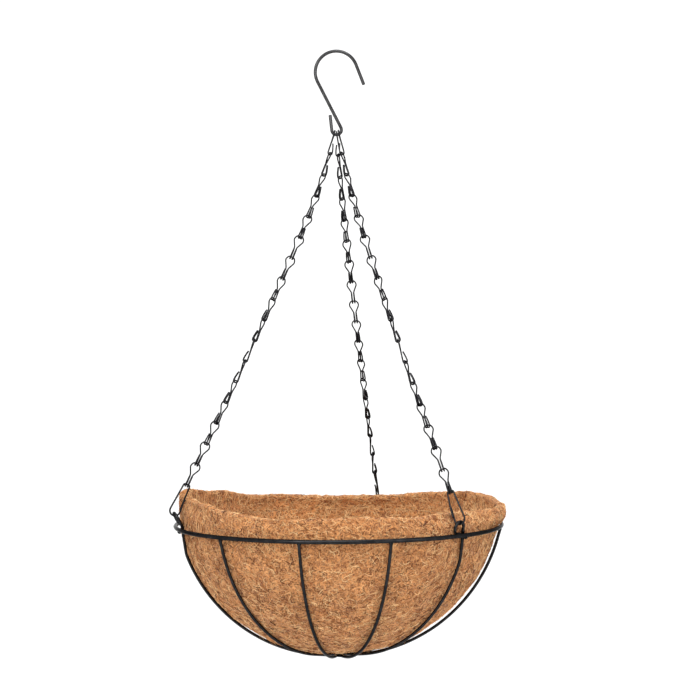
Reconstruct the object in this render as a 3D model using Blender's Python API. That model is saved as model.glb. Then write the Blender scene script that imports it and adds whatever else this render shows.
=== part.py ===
"""Wire hanging basket with a coir liner, hung on three chains from an S-hook.

The origin is the inner top of the S-hook, where the basket hangs. +Z is up, -Y is the front.
Every wire is a tube swept along its own centreline, and a clear gap is left wherever two wires touch.
"""
import math

import bpy
from mathutils import Vector

# Driving dimensions, in metres
RIM_DIAMETER = 0.3556
RIM_DROP = 0.5095
BOWL_DEPTH = 0.143
RIM_WIRE = 0.0044
RIB_WIRE = 0.0033
HOOK_WIRE = 0.0035
CHAIN_WIRE = 0.0016
CLIP_WIRE = 0.0019
GAP = 0.0003

# S-hook: centreline radii, and how far the bends are apart
HOOK_TOP_RADIUS = 0.0228
HOOK_BEND_RADIUS = 0.0053
HOOK_BEND_DROP = 0.0835
HOOK_LEG_LENGTH = 0.0162
HOOK_LEG_SPLAY = 0.0017
HOOK_TIP_LENGTH = 0.0235
HOOK_TIP_LEAN = math.radians(21)

# Cage
RIB_COUNT = 12
FIRST_RIB = math.radians(-72.5)
RIB_STEP = 2 * math.pi / RIB_COUNT
CROSSING_REACH = 0.042
RIB_TOP = 0.985
EYED_RIB_TOP = 0.955
EYE_RADIUS = 0.0070
EYE_BEND = 0.0020
EYE_TURN = math.radians(285)

# Chains: links per chain, and the outline of one link
LINKS = 17
LEG_SPREAD = 0.0013
BAR_REACH = 0.0030
SHOULDER_REACH = 0.0051
CURL_RADIUS = 0.0023
SHOULDER_DROP = 0.0052
PINCH_DROP = 0.0135
BAR_SPACING = 0.0019
# Near the hook the chains hang close together: the share of their lean that they lack there, and over
# how many links it comes back
LEAN_LOSS = 0.50
LEAN_LINKS = 2.8

# Spring clips
CLIP_LENGTH = 0.0355
CLIP_TOP_REACH = 0.0033
CLIP_BOTTOM_RADIUS = 0.0056
# As shares of the inner leg, up from its foot: the side end, the free end, and where the side end moves clear
CLIP_OVERLAP = (0.12, 0.45, 0.58)

# Coir liner
LINER_THICKNESS = 0.0090
LINER_RADIUS = 0.1680
LINER_DEPTH = 0.1300
LINER_RISE = 0.0220
LINER_LIP_RADIUS = 0.1600

# name, rib that holds the eye, turn of the first link and of the clip about the chain
CHAINS = [
    ("left", 0, math.radians(-90), math.radians(197)),
    ("back", 8, math.radians(90), math.radians(-103)),
    ("right", 4, math.radians(90), math.radians(-206)),
]
# How far each eye leans out from the rim and the length of its stem, by the rib that holds it
EYE_LEANS = {0: math.radians(28), 8: math.radians(20), 4: math.radians(14)}
EYE_STEMS = {0: 0.0105, 8: 0.0080, 4: 0.0058}

RIM_RADIUS = (RIM_DIAMETER - RIM_WIRE) / 2
RIB_DEPTH = BOWL_DEPTH - RIB_WIRE / 2
RIB_SPHERE = (RIM_RADIUS ** 2 + RIB_DEPTH ** 2) / (2 * RIB_DEPTH)
UP = Vector((0, 0, 1))


def outward(angle):
    """Level unit vector at an angle from the front, positive towards +X."""
    return Vector((math.sin(angle), -math.cos(angle), 0))


def clear_scene():
    for old in list(bpy.data.objects):
        bpy.data.objects.remove(old)


def make_material(name, colour, roughness, metallic):
    material = bpy.data.materials.new(name)
    material.use_nodes = True
    shader = material.node_tree.nodes["Principled BSDF"]
    shader.inputs["Base Color"].default_value = (*colour, 1)
    shader.inputs["Roughness"].default_value = roughness
    shader.inputs["Metallic"].default_value = metallic
    material.diffuse_color = (*colour, 1)
    return material


def add_object(name, points, faces, origin, material):
    """A mesh object whose origin is the given point."""
    mesh = bpy.data.meshes.new(name)
    mesh.from_pydata([point - origin for point in points], [], faces)
    mesh.materials.append(material)
    piece = bpy.data.objects.new(name, mesh)
    piece.location = origin
    bpy.context.collection.objects.link(piece)
    return piece


def arc(centre, across, along, radius, start, end, steps):
    """Points on an arc: angle 0 is towards across, 90 degrees is towards along."""
    angles = [start + (end - start) * step / steps for step in range(steps + 1)]
    return [centre + radius * (math.cos(a) * across + math.sin(a) * along) for a in angles]


def tube_rings(path, radius, sides, closed):
    """Rings of a tube's points, mitred at each bend, so that every side of the tube is flat."""
    count = len(path)
    rings = []
    side = None
    for index, point in enumerate(path):
        before = path[index - 1] if index or closed else None
        after = path[(index + 1) % count] if index + 1 < count or closed else None
        into = (point - before).normalized() if before else (after - point).normalized()
        out = (after - point).normalized() if after else into
        if side is None:
            side = into.orthogonal().normalized()
        other = into.cross(side)
        mitre = into + out
        ring = []
        for step in range(sides):
            angle = 2 * math.pi * step / sides
            offset = radius * (math.cos(angle) * side + math.sin(angle) * other)
            ring.append(point + offset - into * offset.dot(mitre) / into.dot(mitre))
        rings.append(ring)
        side = (side - mitre * out.dot(side) / (1 + into.dot(out))).normalized()
    return rings


def tube(path, radius, sides, closed=False):
    """Points and faces of a tube with flat ends, or of a closed hoop."""
    rings = tube_rings(path, radius, sides, closed)
    points = [point for ring in rings for point in ring]
    spans = len(rings) if closed else len(rings) - 1
    faces = []
    for span in range(spans):
        here = span * sides
        there = (span + 1) % len(rings) * sides
        for step in range(sides):
            following = (step + 1) % sides
            faces.append((here + step, here + following, there + following, there + step))
    if not closed:
        faces.append(tuple(reversed(range(sides))))
        faces.append(tuple(range(len(points) - sides, len(points))))
    return points, faces


# ---------------------------------------------------------------- S-hook

def hook_path():
    """From the short leg round the lower bend, up the shank and over the top bend to the tip."""
    across = Vector((1, 0, 0))
    top = Vector((0, 0, HOOK_WIRE / 2 - HOOK_TOP_RADIUS))
    bend = Vector((0, 0, -HOOK_BEND_DROP))
    apart = (top - bend).length
    shank_lean = math.asin((HOOK_TOP_RADIUS + HOOK_BEND_RADIUS) / apart)
    path = [bend + Vector((-HOOK_BEND_RADIUS - HOOK_LEG_SPLAY, 0, HOOK_LEG_LENGTH))]
    path += arc(bend, across, UP, HOOK_BEND_RADIUS, -math.pi, shank_lean, 11)
    path += arc(top, across, UP, HOOK_TOP_RADIUS, math.pi + shank_lean, HOOK_TIP_LEAN, 13)
    path.append(path[-1] + HOOK_TIP_LENGTH * Vector((math.sin(HOOK_TIP_LEAN), 0, -math.cos(HOOK_TIP_LEAN))))
    return path


# ---------------------------------------------------------------- cage

def rib_angle(rib):
    return FIRST_RIB + rib * RIB_STEP


def rib_point(angle, radius, level):
    """A point of a rib's centreline. Higher levels pass over the lower ones near the crossing."""
    drop = RIB_SPHERE - math.sqrt(RIB_SPHERE ** 2 - radius ** 2)
    reach = level * CROSSING_REACH
    lift = 0
    if radius < reach:
        lift = level * (RIB_WIRE + GAP) * math.cos(math.pi / 2 * radius / reach) ** 2
    return outward(angle) * radius + UP * (drop + lift - RIB_DEPTH - RIM_DROP)


def rib_half(angle, level, top_share=RIB_TOP):
    """From just below the rim to the crossing, with closer points where the wire is lifted."""
    wall_top = math.asin(RIM_RADIUS * top_share / RIB_SPHERE)
    lifted_reach = 2 * CROSSING_REACH
    wall_end = math.asin(lifted_reach / RIB_SPHERE)
    wall_steps = 6
    slopes = [wall_top + (wall_end - wall_top) * step / wall_steps for step in range(wall_steps)]
    radii = [RIB_SPHERE * math.sin(slope) for slope in slopes]
    lifted_steps = 7
    radii += [lifted_reach * (1 - step / lifted_steps) for step in range(lifted_steps + 1)]
    return [rib_point(angle, radius, level) for radius in radii]


def butt_end(angle):
    """Where a plain rib's centreline ends, just under the rim hoop."""
    drop = RIM_WIRE / 2 + GAP
    return outward(angle) * RIM_RADIUS - UP * (RIM_DROP + drop)


def eye_frame(rib):
    """Where the eye's stem bends inside the hoop, the way it leans out, and the sideways direction."""
    side = RIM_RADIUS - RIM_WIRE / 2 - RIB_WIRE / 2 - 2 * GAP
    angle = rib_angle(rib)
    start = outward(angle) * side - UP * (RIM_DROP - EYE_BEND)
    lean = outward(angle) * math.sin(EYE_LEANS[rib]) + UP * math.cos(EYE_LEANS[rib])
    sideways = UP.cross(outward(angle))
    return start, lean, sideways


def eye_centre(rib):
    start, lean, sideways = eye_frame(rib)
    return start + lean * EYE_STEMS[rib] - sideways * EYE_RADIUS


def eye_top(rib):
    return eye_centre(rib) + eye_frame(rib)[1] * EYE_RADIUS


def eye_end(rib):
    """The eye and the stem that comes down from it behind the hoop, from the free end down."""
    start, lean, sideways = eye_frame(rib)
    ring = arc(eye_centre(rib), sideways, lean, EYE_RADIUS, 0, EYE_TURN, 14)
    return list(reversed(ring)) + [start, start - UP * (EYE_BEND + RIM_WIRE)]


def rib_path(rib, level, has_eye):
    """A wire from the rim at this rib, under the bowl, to the rim on the far side."""
    angle = rib_angle(rib)
    near = rib_half(angle, level, EYED_RIB_TOP if has_eye else RIB_TOP)
    far = rib_half(angle + math.pi, level)
    path = (eye_end(rib) if has_eye else [butt_end(angle)]) + near
    return path + list(reversed(far[:-1])) + [butt_end(angle + math.pi)]


def weld(name, tubes, material):
    """One solid from two crossing wires."""
    pieces = [add_object(name, *shape, Vector((0, 0, -RIM_DROP)), material) for shape in tubes]
    joined = pieces[0].modifiers.new("weld", "BOOLEAN")
    joined.operation = "UNION"
    joined.solver = "EXACT"
    joined.object = pieces[1]
    welded = bpy.data.meshes.new_from_object(pieces[0].evaluated_get(bpy.context.evaluated_depsgraph_get()))
    for piece in pieces:
        bpy.data.objects.remove(piece)
    result = bpy.data.objects.new(name, welded)
    result.location = (0, 0, -RIM_DROP)
    bpy.context.collection.objects.link(result)
    return result


def make_cage(material):
    centre = Vector((0, 0, -RIM_DROP))
    points_round = 48
    hoop = [centre + outward(FIRST_RIB + 2 * math.pi * step / points_round) * RIM_RADIUS
            for step in range(points_round)]
    add_object("rim_hoop", *tube(hoop, RIM_WIRE / 2, 6, closed=True), centre, material)
    quarter = RIB_COUNT // 4
    for level, (_, eye_rib, _, _) in enumerate(CHAINS):
        eyed = rib_path(eye_rib, level, True)
        plain = rib_path(eye_rib + quarter, level, False)
        shapes = [tube(path, RIB_WIRE / 2, 6) for path in (eyed, plain)]
        weld(f"rib_cross_{level + 1}", shapes, material)


# ---------------------------------------------------------------- chains

def bar_start(index):
    """Where a chain's first bar lies in the hook's lower bend: the three lie side by side.

    A bar sits on the side of the hook's wire that faces away from its chain.
    """
    side = (index - 1) * BAR_SPACING
    room = HOOK_BEND_RADIUS - HOOK_WIRE / 2 - CHAIN_WIRE / 2 - 2 * GAP
    height = -HOOK_BEND_DROP - math.sqrt(room ** 2 - side ** 2)
    above_wire = height + HOOK_BEND_DROP + math.sqrt(HOOK_BEND_RADIUS ** 2 - side ** 2)
    eye = eye_top(CHAINS[index][1])
    slope = eye.y / (eye.z - height) * (1 - LEAN_LOSS)
    return Vector((side, slope * above_wire, height))


def chain_steps(index):
    """The bars' places from the first link's to the clip's, the way each piece hangs, and the pitch.

    The lean of the lowest pieces is found by halving, so that the clip ends at its eye.
    """
    start = bar_start(index)
    run = eye_top(CHAINS[index][1]) - start
    level = Vector((run.x, run.y, 0))
    clip_reach = CLIP_LENGTH - RIB_WIRE / 2 - CLIP_WIRE / 2 - GAP
    low, high = 0, math.pi / 4
    for _ in range(50):
        lean = (low + high) / 2
        leans = [lean * (1 - LEAN_LOSS * math.exp(-link / LEAN_LINKS)) for link in range(LINKS + 1)]
        pitch = (-run.z - clip_reach * math.cos(leans[-1])) / sum(math.cos(a) for a in leans[:-1])
        reach = pitch * sum(math.sin(a) for a in leans[:-1]) + clip_reach * math.sin(leans[-1])
        low, high = (low, lean) if reach > level.length else (lean, high)
    ways = [level.normalized() * math.sin(a) - UP * math.cos(a) for a in leans]
    places = [start]
    for way in ways[:-1]:
        places.append(places[-1] + way * pitch)
    return places, ways, pitch


def link_turn(index, link):
    """How far a link is turned about its chain. The clip follows the last link by a quarter step."""
    _, _, first, last = CHAINS[index]
    return first + (last - first) * link / (LINKS - 0.75)


def across_chain(way, turn):
    """The directions along a link's bar and towards its hooked side."""
    level = Vector((math.cos(turn), math.sin(turn), 0))
    bar = (level - way * level.dot(way)).normalized()
    return bar, bar.cross(way)


def link_half(pitch):
    """Half a link's centreline as (along the bar, towards the hooks, down), from free end to bar."""
    outline = [
        (LEG_SPREAD, CURL_RADIUS * 0.38, PINCH_DROP + 0.001),
        (LEG_SPREAD, CURL_RADIUS * 0.88, pitch - CURL_RADIUS * 1.6),
    ]
    steps = 4
    for step in range(steps + 1):
        angle = math.pi * step / steps
        outline.append((LEG_SPREAD, CURL_RADIUS * math.cos(angle), pitch + CURL_RADIUS * math.sin(angle)))
    outline += [
        (LEG_SPREAD, -CURL_RADIUS * 0.5, PINCH_DROP),
        (SHOULDER_REACH, -CURL_RADIUS * 0.1, SHOULDER_DROP),
        (BAR_REACH, 0, 0),
    ]
    return outline


def link_path(start, way, turn, pitch):
    bar, hooked = across_chain(way, turn)
    half = link_half(pitch)
    other_half = [(-across, depth, down) for across, depth, down in reversed(half)]
    return [start + bar * across + hooked * depth + way * down for across, depth, down in half + other_half]


def clip_path(start, way, turn):
    """One wire: from its free end down the inner leg, round, up, over the top and down beside that end."""
    inner, _ = across_chain(way, turn)
    if inner.x * way.x + inner.y * way.y > 0:
        inner = -inner
    overlap = way.cross(inner) * (CLIP_WIRE + GAP)
    centre = start + way * (CLIP_LENGTH - CLIP_BOTTOM_RADIUS)
    bottom = arc(centre, inner, way, CLIP_BOTTOM_RADIUS, math.radians(-8), math.radians(188), 9)
    top = [start - inner * CLIP_TOP_REACH, start + inner * CLIP_TOP_REACH]
    leg = top[1] - bottom[0]
    side_end, free_end, clear = (bottom[0] + leg * share for share in CLIP_OVERLAP)
    return [free_end] + bottom + top + [clear + overlap, side_end + overlap]


def make_chains(material):
    for index, (name, _, _, clip_turn) in enumerate(CHAINS):
        places, ways, pitch = chain_steps(index)
        for link, (bar, way) in enumerate(zip(places[:-1], ways)):
            path = link_path(bar, way, link_turn(index, link), pitch)
            add_object(f"{name}_link_{link + 1:02d}", *tube(path, CHAIN_WIRE / 2, 5), bar, material)
        path = clip_path(places[-1], ways[-1], clip_turn)
        add_object(f"{name}_clip", *tube(path, CLIP_WIRE / 2, 6), places[-1], material)


# ---------------------------------------------------------------- liner

def cap_profile(radius, depth, steps):
    """From the bottom centre out to the rim, on a sphere, as (radius, height from the rim)."""
    sphere = (radius ** 2 + depth ** 2) / (2 * depth)
    reach = math.acos((sphere - depth) / sphere)
    angles = [reach * step / steps for step in range(steps + 1)]
    return [(sphere * math.sin(a), sphere - depth - sphere * math.cos(a)) for a in angles]


def make_liner(material):
    """A turned bowl of even thickness with a lip above the rim."""
    centre = Vector((0, 0, -RIM_DROP))
    thickness = LINER_THICKNESS
    outer = cap_profile(LINER_RADIUS, LINER_DEPTH, 9) + [(LINER_LIP_RADIUS, LINER_RISE)]
    inner = cap_profile(LINER_RADIUS - thickness, LINER_DEPTH - thickness, 8)
    inner.append((LINER_LIP_RADIUS - thickness, LINER_RISE))
    steps = 36
    points = [centre + UP * outer[0][1], centre + UP * inner[0][1]]
    profile = outer[1:] + list(reversed(inner[1:]))
    for step in range(steps):
        way = outward(2 * math.pi * step / steps)
        points += [centre + way * radius + UP * height for radius, height in profile]
    faces = []
    rows = len(profile)
    for step in range(steps):
        here = 2 + step * rows
        there = 2 + (step + 1) % steps * rows
        faces.append((0, there, here))
        faces.append((1, here + rows - 1, there + rows - 1))
        for row in range(rows - 1):
            faces.append((here + row, there + row, there + row + 1, here + row + 1))
    add_object("coir_liner", points, faces, centre, material)


def main():
    clear_scene()
    coated_wire = make_material("coated_wire", (0.012, 0.012, 0.014), 0.4, 0.0)
    hook_wire = make_material("hook_wire", (0.035, 0.035, 0.037), 0.35, 0.6)
    chain_wire = make_material("chain_wire", (0.02, 0.02, 0.021), 0.4, 0.5)
    coir = make_material("coir", (0.42, 0.21, 0.085), 0.95, 0.0)
    add_object("s_hook", *tube(hook_path(), HOOK_WIRE / 2, 8), Vector((0, 0, 0)), hook_wire)
    make_cage(coated_wire)
    make_chains(chain_wire)
    make_liner(coir)


main()
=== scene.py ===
"""Looks of a wire hanging basket with a coir liner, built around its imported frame.

Lengths are in metres. +Z is up, -Y is the front, and the origin is the inner top of the S-hook.
An angle round the basket is counted from the front, positive towards +X.
"""
import math

import bpy
import numpy as np
from mathutils import Matrix, Vector, noise


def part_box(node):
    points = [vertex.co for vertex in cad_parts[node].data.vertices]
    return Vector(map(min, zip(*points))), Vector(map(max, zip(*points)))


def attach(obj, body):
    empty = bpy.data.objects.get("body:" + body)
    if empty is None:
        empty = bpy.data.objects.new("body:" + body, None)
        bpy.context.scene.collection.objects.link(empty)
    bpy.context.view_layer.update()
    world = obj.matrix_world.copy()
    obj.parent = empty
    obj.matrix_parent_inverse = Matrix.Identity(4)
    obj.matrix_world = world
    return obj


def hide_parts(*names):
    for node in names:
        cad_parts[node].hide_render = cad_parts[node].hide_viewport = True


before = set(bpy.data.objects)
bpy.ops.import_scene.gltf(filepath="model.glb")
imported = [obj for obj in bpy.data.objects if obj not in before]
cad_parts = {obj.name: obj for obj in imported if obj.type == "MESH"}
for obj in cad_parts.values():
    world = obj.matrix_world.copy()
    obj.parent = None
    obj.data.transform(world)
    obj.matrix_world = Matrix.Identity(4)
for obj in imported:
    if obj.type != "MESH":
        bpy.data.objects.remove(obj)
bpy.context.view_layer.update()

UP = Vector((0, 0, 1))
ACROSS = Vector((1, 0, 0))
BASKET = "basket"
RNG = np.random.default_rng(14)

# Wires and cage
RIM_WIRE = 0.0044
RIB_WIRE = 0.0033
HOOK_WIRE = 0.0035
CHAIN_WIRE = 0.0016
CLIP_WIRE = 0.0019
GAP = 0.0003
RIM_RADIUS = 0.1756
BOWL_DEPTH = 0.143
RIB_COUNT = 12
FIRST_RIB = math.radians(-72.5)
RIB_TOP = 0.985
EYED_RIB_TOP = 0.955
# How far out a wire starts to rise over those below it, and how far it rises as a share of a wire, per level
CROSSING_REACH = 0.042
CROSSING_PRESS = 0.35
RIM_WELD = Vector((0.0023, 0.0023, 0.0016))
CROSSING_WELD = Vector((0.0046, 0.0060, 0.0014))
CROSSING_WELD_SEED = 20
EYE_RADIUS = 0.0070
EYE_BEND = 0.0020
EYE_TURN = math.radians(298)
EYE_LEANS = {0: math.radians(28), 8: math.radians(20), 4: math.radians(14)}
EYE_STEMS = {0: 0.0105, 8: 0.0080, 4: 0.0058}

# A cut wire end: the chamfer's length and the end face's radius, as shares of the wire
CHAMFER_SHARE = 0.12
END_SHARE = 0.38

# S-hook
HOOK_TOP_RADIUS = 0.0228
HOOK_BEND_RADIUS = 0.0053
HOOK_BEND_DROP = 0.0835
HOOK_LEG_LENGTH = 0.0162
HOOK_LEG_SPLAY = 0.0017
HOOK_TIP_LENGTH = 0.0235
HOOK_TIP_LEAN = math.radians(21)

# Chains and clips
LINKS = 17
LEG_SPREAD = 0.0013
BAR_REACH = 0.0030
SHOULDER_REACH = 0.0051
CURL_RADIUS = 0.0023
BAR_SPACING = 0.0019
LEAN_LOSS = 0.50
LEAN_LINKS = 2.8
SHOULDER_DROP = 0.0052
PINCH_DROP = 0.0135
CLIP_LENGTH = 0.0355
CLIP_TOP_REACH = 0.0033
CLIP_BOTTOM_RADIUS = 0.0056
# name, rib that holds the eye, turn of the first link and of the clip about the chain
CHAINS = [
    ("left", 0, math.radians(-90), math.radians(197)),
    ("back", 8, math.radians(90), math.radians(-103)),
    ("right", 4, math.radians(90), math.radians(-206)),
]

rim_low, rim_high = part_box("rim_hoop")
RIM_HEIGHT = (rim_low.z + rim_high.z) / 2
RIB_DEPTH = BOWL_DEPTH - RIB_WIRE / 2
RIB_SPHERE = (RIM_RADIUS ** 2 + RIB_DEPTH ** 2) / (2 * RIB_DEPTH)
SPHERE_RISE = RIB_SPHERE - RIB_DEPTH

# Camera, at the height of the middle of the object and slightly to its right
CAMERA_PLACE = Vector((0.0132, -1.85, -0.3215))
CAMERA_ROLL = math.radians(0.3)
CAMERA_LENS = 88.0
FLOOR_HEIGHT = -1.25

# Lights: name, place, target, size and power in watts
LIT_MIDDLE = (0, 0, -0.40)
LIGHTS = [
    ("key", (-0.9, -2.0, 0.5), LIT_MIDDLE, 1.3, 21.5),
    ("fill", (1.5, -1.6, 0.1), LIT_MIDDLE, 1.4, 12),
    ("high_front", (0.1, -1.3, 1.0), LIT_MIDDLE, 0.8, 10),
    ("top", (0.2, 0.3, 1.3), LIT_MIDDLE, 1.2, 12),
    ("backdrop", (0, 0.9, 0.3), (0, 2.6, -0.6), 2.0, 8),
]
WORLD_STRENGTH = 0.75


# ---------------------------------------------------------------- shapes

def outward(angle):
    return Vector((math.sin(angle), -math.cos(angle), 0))


def arc(centre, across, along, radius, start, end, steps):
    """Points on an arc: angle 0 is towards across, 90 degrees is towards along."""
    angles = [start + (end - start) * step / steps for step in range(steps + 1)]
    return [centre + radius * (math.cos(a) * across + math.sin(a) * along) for a in angles]


def bent_wire(points, step, passes, closed=False):
    """The points respaced along their line, with its corners rounded as bent wire has them."""
    line = np.array([tuple(point) for point in points], float)
    if closed:
        line = np.vstack([line, line[:1]])
    travelled = np.concatenate([[0], np.cumsum(np.linalg.norm(np.diff(line, axis=0), axis=1))])
    count = max(4, round(travelled[-1] / step))
    places = np.linspace(0, travelled[-1], count + 1)
    line = np.stack([np.interp(places, travelled, line[:, axis]) for axis in range(3)], axis=1)
    if closed:
        line = line[:-1]
    for _ in range(passes):
        middle = (np.roll(line, 1, axis=0) + np.roll(line, -1, axis=0)) / 2
        moved = line + (middle - line) * 0.5
        if not closed:
            moved[0], moved[-1] = line[0], line[-1]
        line = moved
    return [Vector(point) for point in line]


def rings_along(line, radii, sides, closed):
    """Rings of points round a line, carried along it without twisting."""
    count = len(line)
    rings = []
    side = None
    for index, point in enumerate(line):
        before = line[index - 1] if index or closed else point
        after = line[(index + 1) % count] if index + 1 < count or closed else point
        tangent = (after - before).normalized()
        if side is None:
            side = tangent.orthogonal().normalized()
        side = (side - tangent * side.dot(tangent)).normalized()
        other = tangent.cross(side)
        ring = []
        for step in range(sides):
            angle = 2 * math.pi * step / sides
            ring.append(point + radii[index] * (math.cos(angle) * side + math.sin(angle) * other))
        rings.append(ring)
    return rings


def tube_mesh(name, lines, diameter, sides, closed=False):
    """A mesh of round wires along lines of points. Open ends are cut off blunt, with a small chamfer."""
    blunt = diameter * END_SHARE
    points = []
    faces = []
    for line in lines:
        line = list(line)
        radii = [diameter / 2] * len(line)
        if not closed:
            chamfer = diameter * CHAMFER_SHARE
            for end, inner in ((0, 1), (-1, -2)):
                way = (line[inner] - line[end]).normalized()
                line.insert(1 if end == 0 else len(line) - 1, line[end] + way * chamfer)
            radii = [blunt] + [diameter / 2] * (len(line) - 2) + [blunt]
        rings = rings_along(line, radii, sides, closed)
        base = len(points)
        points += [point for ring in rings for point in ring]
        spans = len(rings) if closed else len(rings) - 1
        for span in range(spans):
            here = base + span * sides
            there = base + (span + 1) % len(rings) * sides
            for step in range(sides):
                following = (step + 1) % sides
                faces.append((here + step, here + following, there + following, there + step))
        if not closed:
            faces.append(tuple(reversed(range(base, base + sides))))
            faces.append(tuple(range(len(points) - sides, len(points))))
    mesh = bpy.data.meshes.new(name)
    mesh.from_pydata(points, [], faces)
    mesh.shade_smooth()
    mesh.set_sharp_from_angle(angle=math.radians(40))
    return mesh


def place(name, mesh, material, body, nodes=(), matrix=None):
    """A piece that shows this mesh, rides on a body and stands for the given CAD nodes."""
    piece = bpy.data.objects.new(name, mesh)
    bpy.context.scene.collection.objects.link(piece)
    if not mesh.materials:
        mesh.materials.append(material)
    if matrix is not None:
        piece.matrix_world = matrix
    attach(piece, body)
    if nodes:
        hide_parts(*nodes)
    return piece


# ---------------------------------------------------------------- materials

def new_material(name):
    material = bpy.data.materials.new(name)
    material.use_nodes = True
    return material, material.node_tree.nodes, material.node_tree.links


def set_inputs(node, values):
    for key, value in values.items():
        node.inputs[key].default_value = value


def colour_ramp(nodes, stops):
    ramp = nodes.new("ShaderNodeValToRGB")
    while len(ramp.color_ramp.elements) < len(stops):
        ramp.color_ramp.elements.new(0.5)
    for element, (place_on_ramp, colour) in zip(ramp.color_ramp.elements, stops):
        element.position = place_on_ramp
        element.color = (*colour, 1)
    return ramp


def wire_material(name, dark, worn, roughness, edge):
    """Coated wire: uneven tone, satin sheen that fades towards its edges, and a faintly rippled coating."""
    material, nodes, links = new_material(name)
    shader = nodes["Principled BSDF"]
    set_inputs(shader, {"Metallic": 1.0, "Specular Tint": (edge, edge, edge, 1)})
    place_in = nodes.new("ShaderNodeTexCoord")
    mottle = nodes.new("ShaderNodeTexNoise")
    set_inputs(mottle, {"Scale": 120.0, "Detail": 4.0, "Roughness": 0.55})
    links.new(place_in.outputs["Object"], mottle.inputs["Vector"])
    tone = colour_ramp(nodes, [(0.35, dark), (0.75, worn)])
    links.new(mottle.outputs["Fac"], tone.inputs["Fac"])
    links.new(tone.outputs["Color"], shader.inputs["Base Color"])
    gloss = nodes.new("ShaderNodeMapRange")
    set_inputs(gloss, {"To Min": roughness - 0.05, "To Max": roughness + 0.07})
    links.new(mottle.outputs["Fac"], gloss.inputs["Value"])
    links.new(gloss.outputs["Result"], shader.inputs["Roughness"])
    ripple = nodes.new("ShaderNodeTexNoise")
    set_inputs(ripple, {"Scale": 900.0, "Detail": 2.0})
    links.new(place_in.outputs["Object"], ripple.inputs["Vector"])
    bump = nodes.new("ShaderNodeBump")
    set_inputs(bump, {"Strength": 0.15, "Distance": 0.0001})
    links.new(ripple.outputs["Fac"], bump.inputs["Height"])
    links.new(bump.outputs["Normal"], shader.inputs["Normal"])
    return material


def wandering_vector(nodes, links, source, scale, reach):
    """The source vector pushed about by noise, so that cells drawn on it become curly."""
    wander = nodes.new("ShaderNodeTexNoise")
    set_inputs(wander, {"Scale": scale, "Detail": 2.0, "Roughness": 0.55})
    links.new(source, wander.inputs["Vector"])
    centred = nodes.new("ShaderNodeVectorMath")
    centred.operation = "SUBTRACT"
    centred.inputs[1].default_value = (0.5, 0.5, 0.5)
    links.new(wander.outputs["Color"], centred.inputs[0])
    pushed = nodes.new("ShaderNodeVectorMath")
    pushed.operation = "MULTIPLY_ADD"
    pushed.inputs[1].default_value = (reach, reach, reach)
    links.new(centred.outputs["Vector"], pushed.inputs[0])
    links.new(source, pushed.inputs[2])
    return pushed.outputs["Vector"]


def strand_mask(nodes, links, vector, scale, width):
    """Bright curly lines, the edges of cells, at about 1/scale metres apart."""
    cells = nodes.new("ShaderNodeTexVoronoi")
    cells.feature = "DISTANCE_TO_EDGE"
    set_inputs(cells, {"Scale": scale, "Randomness": 1.0})
    links.new(vector, cells.inputs["Vector"])
    line = nodes.new("ShaderNodeMapRange")
    line.interpolation_type = "SMOOTHSTEP"
    set_inputs(line, {"From Min": 0.0, "From Max": width, "To Min": 1.0, "To Max": 0.0})
    links.new(cells.outputs["Distance"], line.inputs["Value"])
    return line.outputs["Result"]


def mix_colours(nodes, links, factor, first, second, blend="MIX"):
    mixer = nodes.new("ShaderNodeMix")
    mixer.data_type = "RGBA"
    mixer.blend_type = blend
    for socket, value in ((mixer.inputs[0], factor), (mixer.inputs[6], first), (mixer.inputs[7], second)):
        if isinstance(value, bpy.types.NodeSocket):
            links.new(value, socket)
        else:
            socket.default_value = value
    return mixer.outputs[2]


def add_values(nodes, links, first, second, operation="ADD"):
    """Two values added, or joined by another operation of the maths node."""
    total = nodes.new("ShaderNodeMath")
    total.operation = operation
    for socket, value in zip(total.inputs, (first, second)):
        if isinstance(value, bpy.types.NodeSocket):
            links.new(value, socket)
        else:
            socket.default_value = value
    return total.outputs[0]


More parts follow.
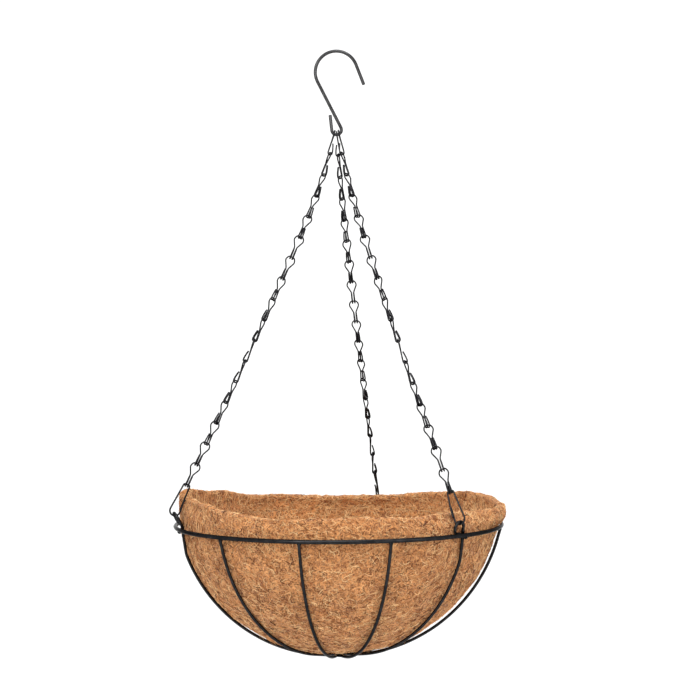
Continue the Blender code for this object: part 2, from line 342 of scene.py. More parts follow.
def coir_felt_material():
    """Needled coconut fibre: pale curly strands over darker gaps that are painted shade, mottled in patches,
    with painted shade in small pits.
    """
    material, nodes, links = new_material("coir_felt")
    shader = nodes["Principled BSDF"]
    set_inputs(shader, {"Roughness": 0.92, "Specular IOR Level": 0.15})
    set_inputs(shader, {"Sheen Weight": 0.15, "Sheen Roughness": 0.6})
    source = nodes.new("ShaderNodeTexCoord").outputs["Object"]
    wide = strand_mask(nodes, links, wandering_vector(nodes, links, source, 110, 0.013), 210, 0.16)
    fine = strand_mask(nodes, links, wandering_vector(nodes, links, source, 190, 0.008), 420, 0.22)
    strands = add_values(nodes, links, wide, fine, "MAXIMUM")
    # The darker colour between the strands is painted shade in the low gaps under them
    base = mix_colours(nodes, links, strands, (0.25, 0.078, 0.022, 1), (0.76, 0.350, 0.125, 1))
    patches = nodes.new("ShaderNodeTexNoise")
    set_inputs(patches, {"Scale": 34.0, "Detail": 4.0, "Roughness": 0.6})
    links.new(source, patches.inputs["Vector"])
    patch_tone = colour_ramp(nodes, [
        (0.30, (0.74, 0.68, 0.62)), (0.55, (1.0, 1.0, 1.0)), (0.75, (1.18, 1.16, 1.06))])
    links.new(patches.outputs["Fac"], patch_tone.inputs["Fac"])
    toned = mix_colours(nodes, links, 1.0, base, patch_tone.outputs["Color"], "MULTIPLY")
    # Small dark pits: painted shade where the grain bump is lowest
    pit_noise = nodes.new("ShaderNodeTexNoise")
    set_inputs(pit_noise, {"Scale": 330.0, "Detail": 3.0, "Roughness": 0.7})
    links.new(source, pit_noise.inputs["Vector"])
    pit_shade_tone = colour_ramp(nodes, [(0.28, (0.35, 0.28, 0.22)), (0.40, (1.0, 1.0, 1.0))])
    links.new(pit_noise.outputs["Fac"], pit_shade_tone.inputs["Fac"])
    final = mix_colours(nodes, links, 1.0, toned, pit_shade_tone.outputs["Color"], "MULTIPLY")
    links.new(final, shader.inputs["Base Color"])
    grain = add_values(nodes, links, pit_noise.outputs["Fac"], 0.8, "MULTIPLY")
    height = add_values(nodes, links, strands, grain)
    bump = nodes.new("ShaderNodeBump")
    set_inputs(bump, {"Strength": 0.9, "Distance": 0.0009})
    links.new(height, bump.inputs["Height"])
    links.new(bump.outputs["Normal"], shader.inputs["Normal"])
    return material


def coir_fibre_material():
    """Single coconut fibres, from dark brown to straw, one tone to a fibre; inside the bowl the tone is
    raised by painted light.
    """
    material, nodes, links = new_material("coir_fibre")
    shader = nodes["Principled BSDF"]
    set_inputs(shader, {"Roughness": 0.75, "Specular IOR Level": 0.3})
    tone = nodes.new("ShaderNodeAttribute")
    tone.attribute_name = "tone"
    ramp = colour_ramp(nodes, [
        (0.0, (0.09, 0.026, 0.008)), (0.28, (0.36, 0.120, 0.036)),
        (0.58, (0.76, 0.360, 0.135)), (1.0, (0.98, 0.66, 0.33))])
    links.new(tone.outputs["Fac"], ramp.inputs["Fac"])
    links.new(ramp.outputs["Color"], shader.inputs["Base Color"])
    return material


def stage_material():
    material, nodes, _ = new_material("studio_white")
    set_inputs(nodes["Principled BSDF"], {"Base Color": (0.93, 0.93, 0.93, 1), "Roughness": 0.9})
    return material


# ---------------------------------------------------------------- S-hook

def make_hook(material):
    top = Vector((0, 0, HOOK_WIRE / 2 - HOOK_TOP_RADIUS))
    bend = Vector((0, 0, -HOOK_BEND_DROP))
    shank_lean = math.asin((HOOK_TOP_RADIUS + HOOK_BEND_RADIUS) / (top - bend).length)
    path = [bend + Vector((-HOOK_BEND_RADIUS - HOOK_LEG_SPLAY, 0, HOOK_LEG_LENGTH))]
    path += arc(bend, ACROSS, UP, HOOK_BEND_RADIUS, -math.pi, shank_lean, 30)
    path += arc(top, ACROSS, UP, HOOK_TOP_RADIUS, math.pi + shank_lean, HOOK_TIP_LEAN, 60)
    path.append(path[-1] + HOOK_TIP_LENGTH * Vector((math.sin(HOOK_TIP_LEAN), 0, -math.cos(HOOK_TIP_LEAN))))
    mesh = tube_mesh("s_hook_wire", [bent_wire(path, 0.0009, 3)], HOOK_WIRE, 20)
    place("s_hook_wire", mesh, material, "hook", ["s_hook"])


# ---------------------------------------------------------------- cage

def rib_angle(rib):
    return FIRST_RIB + rib * 2 * math.pi / RIB_COUNT


def rib_point(angle, radius, level):
    """A point of a rib's centreline. Higher levels pass over the lower ones near the crossing."""
    drop = RIB_SPHERE - math.sqrt(RIB_SPHERE ** 2 - radius ** 2)
    reach = CROSSING_REACH * level
    lift = 0
    if radius < reach:
        lift = level * RIB_WIRE * CROSSING_PRESS * math.cos(math.pi / 2 * radius / reach) ** 2
    return outward(angle) * radius + UP * (drop + lift - RIB_DEPTH + RIM_HEIGHT)


def rib_half(angle, level, top_share):
    """A rib's centreline from its top to the crossing."""
    steps = 70
    top = math.asin(min(1, RIM_RADIUS * top_share / RIB_SPHERE))
    slopes = [top * (1 - step / steps) for step in range(steps + 1)]
    return [rib_point(angle, RIB_SPHERE * math.sin(slope), level) for slope in slopes]


def eye_frame(rib):
    """The foot of an eye's stem inside the hoop, the way it leans, and the direction across it."""
    out = outward(rib_angle(rib))
    side = RIM_RADIUS - RIM_WIRE / 2 - RIB_WIRE / 2 - 2 * GAP
    lean = out * math.sin(EYE_LEANS[rib]) + UP * math.cos(EYE_LEANS[rib])
    return out * side + UP * (RIM_HEIGHT + EYE_BEND), lean, UP.cross(out)


def eye_centre(rib):
    start, lean, sideways = eye_frame(rib)
    return start + lean * EYE_STEMS[rib] - sideways * EYE_RADIUS


def eye_top(rib):
    return eye_centre(rib) + eye_frame(rib)[1] * EYE_RADIUS


def rib_end(rib, has_eye):
    """The top of a rib: a butt under the hoop, or a stem inside the hoop that curls into an eye."""
    if not has_eye:
        return [outward(rib_angle(rib)) * RIM_RADIUS + UP * (RIM_HEIGHT - RIM_WIRE * 0.35)]
    start, lean, sideways = eye_frame(rib)
    ring = arc(eye_centre(rib), sideways, lean, EYE_RADIUS, 0, EYE_TURN, 48)
    return list(reversed(ring)) + [start, start - UP * (EYE_BEND + RIM_WIRE)]


def weld_bead(name, centre, size, seed, material):
    """A small lumpy nugget where two wires are welded."""
    mesh = bpy.data.meshes.new(name)
    rows, turns = 7, 12
    points = [centre + UP * size.z, centre - UP * size.z]
    for row in range(1, rows):
        slope = math.pi * row / rows
        for turn in range(turns):
            around = 2 * math.pi * turn / turns
            level = Vector((math.cos(around), math.sin(around), 0))
            way = level * math.sin(slope) + UP * math.cos(slope)
            lump = 1 + 0.35 * noise.noise(way * 1.7 + Vector((seed * 3.1, 0, 0)))
            points.append(centre + Vector((way.x * size.x, way.y * size.y, way.z * size.z)) * lump)
    faces = []
    for turn in range(turns):
        following = (turn + 1) % turns
        faces.append((0, 2 + turn, 2 + following))
        last = 2 + (rows - 2) * turns
        faces.append((1, last + following, last + turn))
        for row in range(rows - 2):
            here = 2 + row * turns
            faces.append((here + turn, here + turns + turn, here + turns + following, here + following))
    mesh.from_pydata(points, [], faces)
    mesh.shade_smooth()
    place(name, mesh, material, BASKET)


def make_cage(material):
    centre = UP * RIM_HEIGHT
    steps = 240
    hoop = [centre + outward(2 * math.pi * step / steps) * RIM_RADIUS for step in range(steps)]
    place("rim_hoop_wire", tube_mesh("rim_hoop_wire", [hoop], RIM_WIRE, 20, closed=True),
          material, BASKET, ["rim_hoop"])
    quarter = RIB_COUNT // 4
    far = RIB_COUNT // 2
    for level, (_, eye_rib, _, _) in enumerate(CHAINS):
        for rib, has_eye in ((eye_rib, True), (eye_rib + quarter, False)):
            angle = rib_angle(rib)
            near = rib_half(angle, level, EYED_RIB_TOP if has_eye else RIB_TOP)
            across = list(reversed(rib_half(angle + math.pi, level, RIB_TOP)[:-1]))
            path = rib_end(rib, has_eye) + near + across + rib_end(rib + far, False)
            number = rib % RIB_COUNT
            mesh = tube_mesh(f"rib_wire_{number:02d}", [bent_wire(path, 0.0016, 4)], RIB_WIRE, 16)
            nodes = [f"rib_cross_{level + 1}"]
            place(f"rib_wire_{number:02d}", mesh, material, BASKET, nodes)
    for rib in range(RIB_COUNT):
        foot = outward(rib_angle(rib)) * (RIM_RADIUS - RIM_WIRE * 0.18) + UP * (RIM_HEIGHT - RIM_WIRE * 0.55)
        weld_bead(f"rim_weld_{rib:02d}", foot, RIM_WELD, rib, material)
    bottom = UP * (RIM_HEIGHT - RIB_DEPTH)
    for level in range(3):
        spot = bottom + UP * RIB_WIRE * CROSSING_PRESS * level + outward(0) * 0.004
        weld_bead(f"crossing_weld_{level}", spot, CROSSING_WELD, CROSSING_WELD_SEED + level, material)


# ---------------------------------------------------------------- chains

def bar_start(index):
    """Where a chain's first bar lies in the hook's lower bend, on the side away from its chain."""
    side = (index - 1) * BAR_SPACING
    room = HOOK_BEND_RADIUS - HOOK_WIRE / 2 - CHAIN_WIRE / 2 - 2 * GAP
    height = -HOOK_BEND_DROP - math.sqrt(room ** 2 - side ** 2)
    above_wire = height + HOOK_BEND_DROP + math.sqrt(HOOK_BEND_RADIUS ** 2 - side ** 2)
    eye = eye_top(CHAINS[index][1])
    slope = eye.y / (eye.z - height) * (1 - LEAN_LOSS)
    return Vector((side, slope * above_wire, height))


def chain_steps(index):
    """The bars' places from the first link's to the clip's, the way each piece hangs, and the pitch.

    The lean of the lowest pieces is found by halving, so that the clip ends at its eye.
    """
    start = bar_start(index)
    run = eye_top(CHAINS[index][1]) - start
    level = Vector((run.x, run.y, 0))
    clip_reach = CLIP_LENGTH - RIB_WIRE / 2 - CLIP_WIRE / 2 - GAP
    low, high = 0, math.pi / 4
    for _ in range(50):
        lean = (low + high) / 2
        leans = [lean * (1 - LEAN_LOSS * math.exp(-link / LEAN_LINKS)) for link in range(LINKS + 1)]
        pitch = (-run.z - clip_reach * math.cos(leans[-1])) / sum(math.cos(a) for a in leans[:-1])
        reach = pitch * sum(math.sin(a) for a in leans[:-1]) + clip_reach * math.sin(leans[-1])
        low, high = (low, lean) if reach > level.length else (lean, high)
    ways = [level.normalized() * math.sin(a) - UP * math.cos(a) for a in leans]
    places = [start]
    for way in ways[:-1]:
        places.append(places[-1] + way * pitch)
    return places, ways, pitch


def across_chain(way, turn):
    """The directions along a link's bar and towards its hooked side."""
    level = Vector((math.cos(turn), math.sin(turn), 0))
    bar = (level - way * level.dot(way)).normalized()
    return bar, bar.cross(way)


def link_outline(pitch):
    """A link's centreline as (along the bar, towards the hooks, up), from one free end to the other."""
    half = [
        (LEG_SPREAD, CURL_RADIUS * 0.38, PINCH_DROP + 0.0006),
        (LEG_SPREAD, CURL_RADIUS * 0.62, PINCH_DROP + 0.0030),
        (LEG_SPREAD, CURL_RADIUS * 0.92, pitch - CURL_RADIUS * 1.6),
    ]
    steps = 12
    for step in range(steps + 1):
        angle = math.pi * step / steps
        half.append((LEG_SPREAD, CURL_RADIUS * math.cos(angle), pitch + CURL_RADIUS * math.sin(angle)))
    half += [
        (LEG_SPREAD, -CURL_RADIUS * 0.5, PINCH_DROP),
        (LEG_SPREAD * 1.25, -CURL_RADIUS * 0.42, PINCH_DROP - 0.0012),
        (SHOULDER_REACH, -CURL_RADIUS * 0.1, SHOULDER_DROP),
        (SHOULDER_REACH * 0.93, 0, SHOULDER_DROP * 0.5),
        (BAR_REACH, 0, 0),
    ]
    other_half = [(-across, depth, down) for across, depth, down in reversed(half)]
    return [Vector((across, depth, -down)) for across, depth, down in half + other_half]


def clip_outline():
    """A clip's centreline as (towards the basket's inside, sideways, up), from its free end."""
    low = Vector((0, 0, CLIP_BOTTOM_RADIUS - CLIP_LENGTH))
    down = -UP
    bottom = arc(low, ACROSS, down, CLIP_BOTTOM_RADIUS, math.radians(-8), math.radians(188), 28)
    top = [Vector((-CLIP_TOP_REACH, 0, 0)), Vector((CLIP_TOP_REACH, 0, 0))]
    leg = top[1] - bottom[0]
    overlap = Vector((0, CLIP_WIRE + GAP * 0.3, 0))
    free_end = [bottom[0] + leg * 0.48 + Vector((0.0009, -0.0006, 0)), bottom[0] + leg * 0.40]
    side = [top[1] + leg * -0.10, top[1].lerp(bottom[0], 0.34) + overlap * 0.5,
            bottom[0] + leg * 0.50 + overlap, bottom[0] + leg * 0.16 + overlap,
            bottom[0] + leg * 0.08 + overlap * 1.25]
    return free_end + bottom + top + side


def basis(across, side, up, place_at):
    """The matrix that carries (across, side, up) coordinates to a place."""
    matrix = Matrix.Identity(4)
    for column, direction in enumerate((across, side, up)):
        for row in range(3):
            matrix[row][column] = direction[row]
    matrix.translation = place_at
    return matrix


def make_chains(material):
    clip_mesh = tube_mesh("clip_wire", [bent_wire(clip_outline(), 0.00045, 8)], CLIP_WIRE, 14)
    for index, (name, _, first, last) in enumerate(CHAINS):
        places, ways, pitch = chain_steps(index)
        mesh = tube_mesh(f"{name}_link_wire", [bent_wire(link_outline(pitch), 0.0004, 5)], CHAIN_WIRE, 12)
        for link, (bar_place, way) in enumerate(zip(places[:-1], ways)):
            node = f"{name}_link_{link + 1:02d}"
            turn = first + (last - first) * link / (LINKS - 0.75)
            bar, hooked = across_chain(way, turn)
            body = node if link else "top_links"
            matrix = basis(bar, hooked, -way, bar_place)
            place(f"{node}_wire", mesh, material, body, [node], matrix)
        way = ways[-1]
        inner, _ = across_chain(way, last)
        if inner.x * way.x + inner.y * way.y > 0:
            inner = -inner
        matrix = basis(inner, inner.cross(way), -way, places[-1])
        node = f"{name}_clip"
        place(f"{node}_wire", clip_mesh, material, node, [node], matrix)


# ---------------------------------------------------------------- liner

LINER_THICKNESS = 0.0090
LINER_BOTTOM_GAP = 0.0068
# The liner's radius at the rim, how much it swells on the right, and where, in degrees
LINER_RIM_RADIUS = 0.1690
RIM_SWELL = 0.0026
RIM_SWELL_ANGLE = 88
RIM_SWELL_WIDTH = 25
LIP_CORNER = 0.0035
# The outward bulge between the rim and the lip: everywhere, and the extra on the right
WALL_BULGE = 0.0012
RIGHT_BULGE = 0.0028
RIGHT_BULGE_ANGLE = 82
RIGHT_BULGE_WIDTH = 16
CREASE_WIDTH = 1.7
MILLIMETRES_PER_DEGREE = 2.95
QUILTING = 0.0006
# Fibres: how many lie on the felt, stand loose from it and stray out near the rim
FIBRE_POINTS = 7
STRANDS = 30000
LOOSE_FIBRES = 1800
STRAY_FIBRES = 110
STRAY_TONE = 0.85
# Fibres inside the bowl are painted paler by this much: painted light that makes up for the shade inside the
# bowl
INSIDE_PAINTED_LIGHT = 0.34
ROUND_STEPS = 600
CAP_STEPS = 96
WALL_STEPS = 16
TOP_STEPS = 10
# Round the lip: angle in degrees, height above the rim and outer radius in millimetres
LIP = [
    (-180, 17.0, 164.0), (-145, 21.0, 166.0), (-120, 30.0, 169.0), (-100, 36.5, 172.5), (-85, 35.0, 171.0),
    (-72, 29.0, 160.5), (-58, 29.5, 166.0), (-45, 25.0, 167.5), (-30, 20.5, 166.0), (-10, 20.5, 167.0),
    (10, 22.0, 165.0), (28, 20.0, 167.0), (40, 22.5, 164.0), (48, 21.5, 159.5), (58, 21.0, 166.0),
    (75, 20.0, 177.0), (92, 21.0, 179.5), (102, 26.5, 174.0), (120, 27.0, 171.5), (140, 23.5, 167.0),
    (160, 18.0, 163.0), (180, 17.0, 164.0),
]
# How far the liner hangs inside the ribs, half way down: angle in degrees, gap in millimetres
SLACK = [
    (-180, 1.5), (-100, 0.6), (-60, 0.6), (-10, 0.8), (30, 1.2),
    (60, 2.0), (85, 2.6), (120, 2.2), (180, 1.5),
]
# Shallow creases: from (angle, height) to (angle, height), in degrees and millimetres, and depth
CREASES = [
    (-63, 27, -51, 2, 1.3), (-58, 20, -47, 1, 0.9), (-68, 10, -60, -18, 1.0), (-80, 20, -74, -10, 0.9),
    (-86, -5, -80, -45, 0.9), (82, 22, 76, 4, 1.6), (96, 20, 92, 2, 1.2), (-30, 18, -24, 6, 0.6),
]


def round_table(table, column, angles):
    """Smooth values between a table's rows, at angles in radians."""
    marks = np.array([row[0] for row in table], float)
    values = np.array([row[column] for row in table], float) / 1000
    degrees = (np.degrees(angles) + 180) % 360 - 180
    right = np.clip(np.searchsorted(marks, degrees, side="right"), 1, len(marks) - 1)
    share = (degrees - marks[right - 1]) / (marks[right] - marks[right - 1])
    share = share * share * (3 - 2 * share)
    return values[right - 1] * (1 - share) + values[right] * share


def smooth_noise(points, scale, octaves, offset):
    """Fractal noise from about -1 to 1 at each point, for features about scale metres wide."""
    flat = points.reshape(-1, 3) / scale + offset
    values = [noise.fractal(Vector(point), 0.8, 2.1, octaves) for point in flat.tolist()]
    return np.array(values).reshape(points.shape[:-1])


def liner_profile(angles):
    """The liner's section at each angle, as (radius, height) rows from bottom outside to bottom inside."""
    lip_height = round_table(LIP, 1, angles)
    lip_radius = round_table(LIP, 2, angles)
    slack = round_table(SLACK, 1, angles)
    inner_sphere = RIB_SPHERE - RIB_WIRE / 2
    swell = np.exp(-((np.degrees(angles) - RIM_SWELL_ANGLE) / RIM_SWELL_WIDTH) ** 2)
    rim_radius = LINER_RIM_RADIUS + RIM_SWELL * swell
    rim_gap = inner_sphere - np.hypot(rim_radius, SPHERE_RISE)
    rows = []
    rim_slope = np.arctan2(rim_radius, SPHERE_RISE)
    for step in range(CAP_STEPS + 1):
        share = step / CAP_STEPS
        slope = rim_slope * share
        belly = np.sin(math.pi * share) ** 0.6
        near_bottom = (1 - share) ** 6
        near_rim = share ** 6
        gap = slack * belly + LINER_BOTTOM_GAP * near_bottom + rim_gap * near_rim
        reach = inner_sphere - gap
        rows.append((reach * np.sin(slope), SPHERE_RISE - reach * np.cos(slope)))
    corner = LIP_CORNER
    on_right = np.exp(-((np.degrees(angles) - RIGHT_BULGE_ANGLE) / RIGHT_BULGE_WIDTH) ** 2)
    bulge = WALL_BULGE + RIGHT_BULGE * on_right
    for step in range(1, WALL_STEPS + 1):
        share = step / WALL_STEPS
        radius = rim_radius + (lip_radius - rim_radius) * share ** 1.3 + bulge * math.sin(math.pi * share)
        rows.append((radius, (lip_height - corner) * share))
    thickness = LINER_THICKNESS
    for step in range(1, TOP_STEPS):
        turn = math.pi * step / TOP_STEPS
        across = np.sign(math.cos(turn)) * abs(math.cos(turn)) ** 0.55
        up = abs(math.sin(turn)) ** 0.75
        rows.append((lip_radius - thickness / 2 * (1 - across), lip_height - corner + corner * up))
    outer_rows = rows[:CAP_STEPS + WALL_STEPS + 1]
    for index in range(len(outer_rows) - 1, -1, -1):
        radius, height = outer_rows[index]
        if index > CAP_STEPS:
            rows.append((radius - thickness, height))
        else:
            to_centre = np.hypot(radius, height - SPHERE_RISE)
            shrink = (to_centre - thickness) / to_centre
            rows.append((radius * shrink, SPHERE_RISE + (height - SPHERE_RISE) * shrink))
    return rows


def crease_depth(degrees, height):
    """How deep the creases are at each point of the outer wall."""
    depth = np.zeros_like(height)
    for from_angle, from_height, to_angle, to_height, deep in CREASES:
        run_round = (to_angle - from_angle) * MILLIMETRES_PER_DEGREE
        along = np.array([run_round, to_height - from_height], float)
        length = np.linalg.norm(along)
        x = (degrees - from_angle) * MILLIMETRES_PER_DEGREE
        y = height * 1000 - from_height
        run = np.clip((x * along[0] + y * along[1]) / length ** 2, 0, 1)
        away = np.hypot(x - run * along[0], y - run * along[1])
        fading = np.sin(math.pi * np.clip(run, 0.08, 0.92))
        depth += deep / 1000 * np.exp(-(away / CREASE_WIDTH) ** 2) * fading
    return depth


def grid_normals(grid):
    """Outward normals of a closed-round grid of points."""
    round_way = np.roll(grid, -1, axis=0) - np.roll(grid, 1, axis=0)
    down_way = np.gradient(grid, axis=1)
    normals = np.cross(round_way, down_way)
    return normals / np.maximum(np.linalg.norm(normals, axis=2, keepdims=True), 1e-12)


def liner_grid():
    """The felt's surface as a grid: round the basket, then along the section."""
    angles = 2 * math.pi * np.arange(ROUND_STEPS) / ROUND_STEPS
    rows = liner_profile(angles)
    radius = np.stack([row[0] for row in rows], axis=1)
    height = np.stack([row[1] for row in rows], axis=1)
    grid = np.stack([
        radius * np.sin(angles)[:, None], -radius * np.cos(angles)[:, None], height + RIM_HEIGHT], axis=2)
    normals = grid_normals(grid)
    outer = CAP_STEPS + WALL_STEPS + 1
    degrees = (np.degrees(angles)[:, None] + 180) % 360 - 180 + np.zeros_like(radius)
    waves = smooth_noise(grid, 0.060, 2, 3.0) * 0.0011
    lumps = smooth_noise(grid, 0.013, 3, 11.0) * 0.0006
    tufts = smooth_noise(grid, 0.0035, 2, 23.0) * 0.00045
    lift = waves + lumps + tufts
    lip_rows = slice(outer - 3, outer + TOP_STEPS + 2)
    lift[:, lip_rows] += smooth_noise(grid[:, lip_rows], 0.009, 3, 31.0) * 0.0007
    lift[:, :outer] -= crease_depth(degrees[:, :outer], height[:, :outer])
    near_pole = np.clip(radius / 0.012, 0, 1)
    quilting = np.cos(RIB_COUNT * (angles - FIRST_RIB))[:, None] * np.clip(radius / 0.08, 0, 1)
    lift[:, :CAP_STEPS] -= (QUILTING * quilting)[:, :CAP_STEPS]
    grid = grid + normals * (lift * near_pole)[:, :, None]
    return grid, grid_normals(grid)


def grid_mesh(name, grid):
    """A closed mesh from a grid whose first and last columns each meet at one point."""
    turns, rows = grid.shape[:2]
    body = grid[:, 1:-1].reshape(-1, 3)
    poles = np.array([grid[:, 0].mean(axis=0), grid[:, -1].mean(axis=0)])
    points = np.vstack([poles, body])
    width = rows - 2
    turn = np.arange(turns)
    following = (turn + 1) % turns
    column = np.arange(width - 1)
    a = 2 + turn[:, None] * width + column
    b = 2 + following[:, None] * width + column
    quads = np.stack([a, b, b + 1, a + 1], axis=2).reshape(-1, 4)
    first = np.stack([np.zeros_like(turn), 2 + following * width, 2 + turn * width], axis=1)
    last = np.stack([
        np.ones_like(turn), 2 + turn * width + width - 1, 2 + following * width + width - 1], axis=1)
    mesh = bpy.data.meshes.new(name)
    mesh.from_pydata(points.tolist(), [], quads.tolist() + first.tolist() + last.tolist())
    mesh.shade_smooth()
    return mesh


def on_grid(grid, around, along):
    """Points of a grid between its rows and columns. around is in turns, along from 0 to 1."""
    turns, rows = grid.shape[:2]
    x = (around % 1) * turns
    y = np.clip(along, 0, 1) * (rows - 1)
    left = np.floor(x).astype(int) % turns
    right = (left + 1) % turns
    low = np.minimum(np.floor(y).astype(int), rows - 2)
    fx = (x - np.floor(x))[:, None]
    fy = (y - low)[:, None]
    near = grid[left, low] * (1 - fy) + grid[left, low + 1] * fy
    far = grid[right, low] * (1 - fy) + grid[right, low + 1] * fy
    return near * (1 - fx) + far * fx


def section_lengths(grid):
    """How far along the section each row lies, as a share, and the section's mean length."""
    steps = np.linalg.norm(np.diff(grid, axis=1), axis=2).mean(axis=0)
    travelled = np.concatenate([[0], np.cumsum(steps)])
    return travelled / travelled[-1], travelled[-1]


def fibre_lines(grid, normals, count, points, step, lift, along_range, curl):
    """Centrelines of fibres that wander over the felt. lift gives each point's height over it."""
    shares, length = section_lengths(grid)
    rows = grid.shape[1]
    around = RNG.random(count)
    low, high = along_range
    area = np.interp(np.linspace(low, high, 400), shares, np.hypot(grid[0, :, 0], grid[0, :, 1]))
    chance = np.cumsum(area) / area.sum()
    along = np.interp(RNG.random(count), chance, np.linspace(low, high, 400))
    heading = RNG.random(count) * 2 * math.pi
    bend = RNG.normal(0, curl, count)
    line = []
    for index in range(points):
        row_share = np.interp(along, shares, np.arange(rows) / (rows - 1))
        spot = on_grid(grid, around, row_share)
        out = on_grid(normals, around, row_share)
        line.append(spot + out * lift[:, index:index + 1])
        radius = np.maximum(np.hypot(spot[:, 0], spot[:, 1]), 0.01)
        around = around + np.cos(heading) * step / (2 * math.pi * radius)
        along = np.clip(along + np.sin(heading) * step / length, 0.0, 1.0)
        heading = heading + bend + RNG.normal(0, curl * 0.8, count)
        bend = bend * 0.9 + RNG.normal(0, curl * 0.35, count)
    return np.stack(line, axis=1), along


def fibre_mesh(name, lines, thickness, tones):
    """Thin three-sided closed tubes along many lines at once, tapering at their ends."""
    count, points = lines.shape[:2]
    tangent = np.gradient(lines, axis=1)
    tangent /= np.maximum(np.linalg.norm(tangent, axis=2, keepdims=True), 1e-12)
    helper = np.where(np.abs(tangent[:, :, 2:]) > 0.8, np.array([[[1.0, 0, 0]]]), np.array([[[0, 0, 1.0]]]))
    side = np.cross(tangent, helper)
    side /= np.maximum(np.linalg.norm(side, axis=2, keepdims=True), 1e-12)
    other = np.cross(tangent, side)
    taper = np.sin(math.pi * (np.arange(points) + 0.6) / (points + 0.2)) ** 0.5
    radius = thickness[:, None] / 2 * taper[None, :]
    corners = []
    for corner in range(3):
        angle = 2 * math.pi * corner / 3
        corners.append(lines + radius[:, :, None] * (math.cos(angle) * side + math.sin(angle) * other))
    verts = np.stack(corners, axis=2).reshape(-1, 3)
    base = (np.arange(count) * points * 3)[:, None, None]
    span = (np.arange(points - 1) * 3)[None, :, None]
    corner = np.arange(3)[None, None, :]
    here = base + span + corner
    beside = base + span + (corner + 1) % 3
    quads = np.stack([here, beside, beside + 3, here + 3], axis=3).reshape(-1, 4)
    start = base[:, 0] + np.array([[0, 2, 1]])
    end = base[:, 0] + (points - 1) * 3 + np.array([[0, 1, 2]])
    mesh = bpy.data.meshes.new(name)
    mesh.from_pydata(verts.tolist(), [], quads.tolist() + start.tolist() + end.tolist())
    mesh.shade_smooth()
    attribute = mesh.attributes.new("tone", "FLOAT", "POINT")
    attribute.data.foreach_set("value", np.repeat(tones, points * 3).astype(np.float32))
    return mesh


def make_liner(felt, fibre):
    grid, normals = liner_grid()
    place("coir_felt", grid_mesh("coir_felt", grid), felt, BASKET, ["coir_liner"])
    points = FIBRE_POINTS
    count = STRANDS
    lift = 0.00010 + 0.0007 * RNG.random((count, points)) * np.sin(math.pi * np.linspace(0, 1, points))
    lying, along = fibre_lines(grid, normals, count, points, 0.0019, lift, (0.01, 0.985), 0.50)
    inside = along > section_lengths(grid)[0][CAP_STEPS + WALL_STEPS + TOP_STEPS]
    # Fibres inside the bowl get painted light added to their random tone
    tones = np.clip(RNG.normal(0.54, 0.34, count) + INSIDE_PAINTED_LIGHT * inside, 0, 1)
    thickness = RNG.uniform(0.00030, 0.00075, count)
    mesh = fibre_mesh("coir_strands", lying, thickness, tones)
    place("coir_strands", mesh, fibre, BASKET)
    count = LOOSE_FIBRES
    lift = np.linspace(0, 1, points) ** 1.3 * RNG.uniform(0.0008, 0.0036, count)[:, None]
    loose, _ = fibre_lines(grid, normals, count, points, 0.0012, lift, (0.01, 0.62), 0.35)
    tones = np.clip(RNG.normal(0.7, 0.2, count), 0, 1)
    thickness = RNG.uniform(0.00016, 0.00026, count)
    mesh = fibre_mesh("coir_fuzz", loose, thickness, tones)
    place("coir_fuzz", mesh, fibre, BASKET)
    count = STRAY_FIBRES
    lift = np.linspace(0, 1, points) ** 1.2 * RNG.uniform(0.0020, 0.0062, count)[:, None]
    stray, _ = fibre_lines(grid, normals, count, points, 0.0030, lift, (0.36, 0.47), 0.22)
    thickness = RNG.uniform(0.00020, 0.00032, count)
    mesh = fibre_mesh("coir_strays", stray, thickness, np.full(count, STRAY_TONE))
    place("coir_strays", mesh, fibre, BASKET)


# ---------------------------------------------------------------- studio

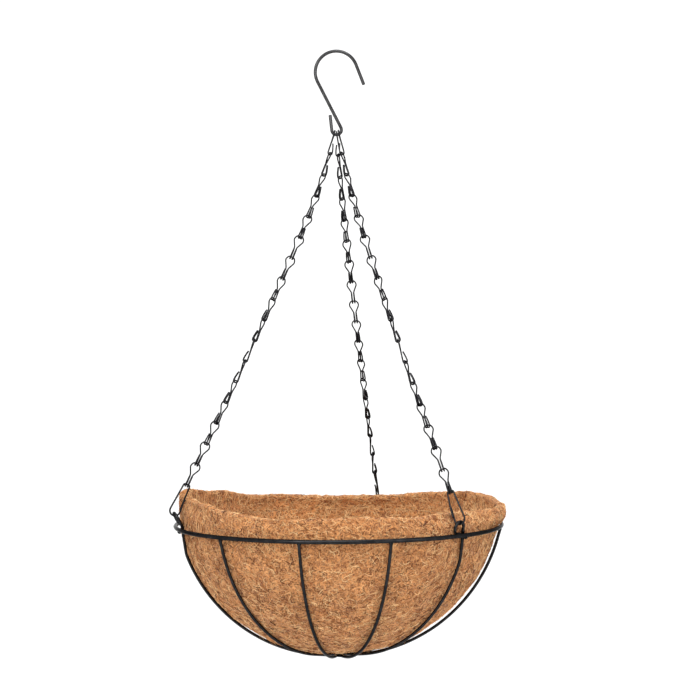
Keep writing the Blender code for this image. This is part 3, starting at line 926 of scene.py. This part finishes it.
def make_camera():
    data = bpy.data.cameras.new("camera")
    data.lens = CAMERA_LENS
    data.sensor_width = 36
    data.clip_end = 50
    camera = bpy.data.objects.new("camera", data)
    camera.location = CAMERA_PLACE
    camera.rotation_euler = (math.radians(90), CAMERA_ROLL, 0)
    bpy.context.scene.collection.objects.link(camera)
    bpy.context.scene.camera = camera


def make_stage():
    """A white floor that curves up into a wall behind the basket."""
    reach, back, curve, top = 4.0, 2.6, 0.9, 3.2
    profile = [(-4.0, 0.0)]
    profile += [(back - curve + curve * math.sin(a), curve - curve * math.cos(a))
                for a in np.linspace(0, math.pi / 2, 16)]
    profile.append((back, top))
    points = [(side, y, FLOOR_HEIGHT + z) for y, z in profile for side in (-reach, reach)]
    faces = [(2 * i, 2 * i + 1, 2 * i + 3, 2 * i + 2) for i in range(len(profile) - 1)]
    mesh = bpy.data.meshes.new("studio_floor")
    mesh.from_pydata(points, [], faces)
    mesh.shade_smooth()
    mesh.materials.append(stage_material())
    floor = bpy.data.objects.new("studio_floor", mesh)
    bpy.context.scene.collection.objects.link(floor)


def area_light(name, place_at, target, size, power):
    data = bpy.data.lights.new(name, "AREA")
    data.shape = "DISK"
    data.size = size
    data.energy = power
    light = bpy.data.objects.new(name, data)
    light.location = place_at
    light.rotation_euler = (Vector(target) - Vector(place_at)).to_track_quat("-Z", "Y").to_euler()
    bpy.context.scene.collection.objects.link(light)


def make_lights():
    for name, place_at, target, size, power in LIGHTS:
        area_light(name, place_at, target, size, power)
    world = bpy.data.worlds.new("studio")
    world.use_nodes = True
    background = world.node_tree.nodes["Background"]
    background.inputs["Color"].default_value = (1, 1, 1, 1)
    background.inputs["Strength"].default_value = WORLD_STRENGTH
    bpy.context.scene.world = world


make_camera()
make_stage()
make_lights()
bpy.context.scene.view_settings.view_transform = "Standard"
# Dark and worn colours, roughness, and how much light the edges give back
coated_wire = wire_material("coated_wire", (0.018, 0.018, 0.019), (0.036, 0.036, 0.037), 0.24, 0.45)
hook_wire = wire_material("hook_wire", (0.050, 0.050, 0.051), (0.085, 0.085, 0.087), 0.24, 0.10)
chain_wire = wire_material("chain_wire", (0.022, 0.022, 0.024), (0.044, 0.044, 0.047), 0.28, 0.14)
make_hook(hook_wire)
make_cage(coated_wire)
make_chains(chain_wire)
make_liner(coir_felt_material(), coir_fibre_material())
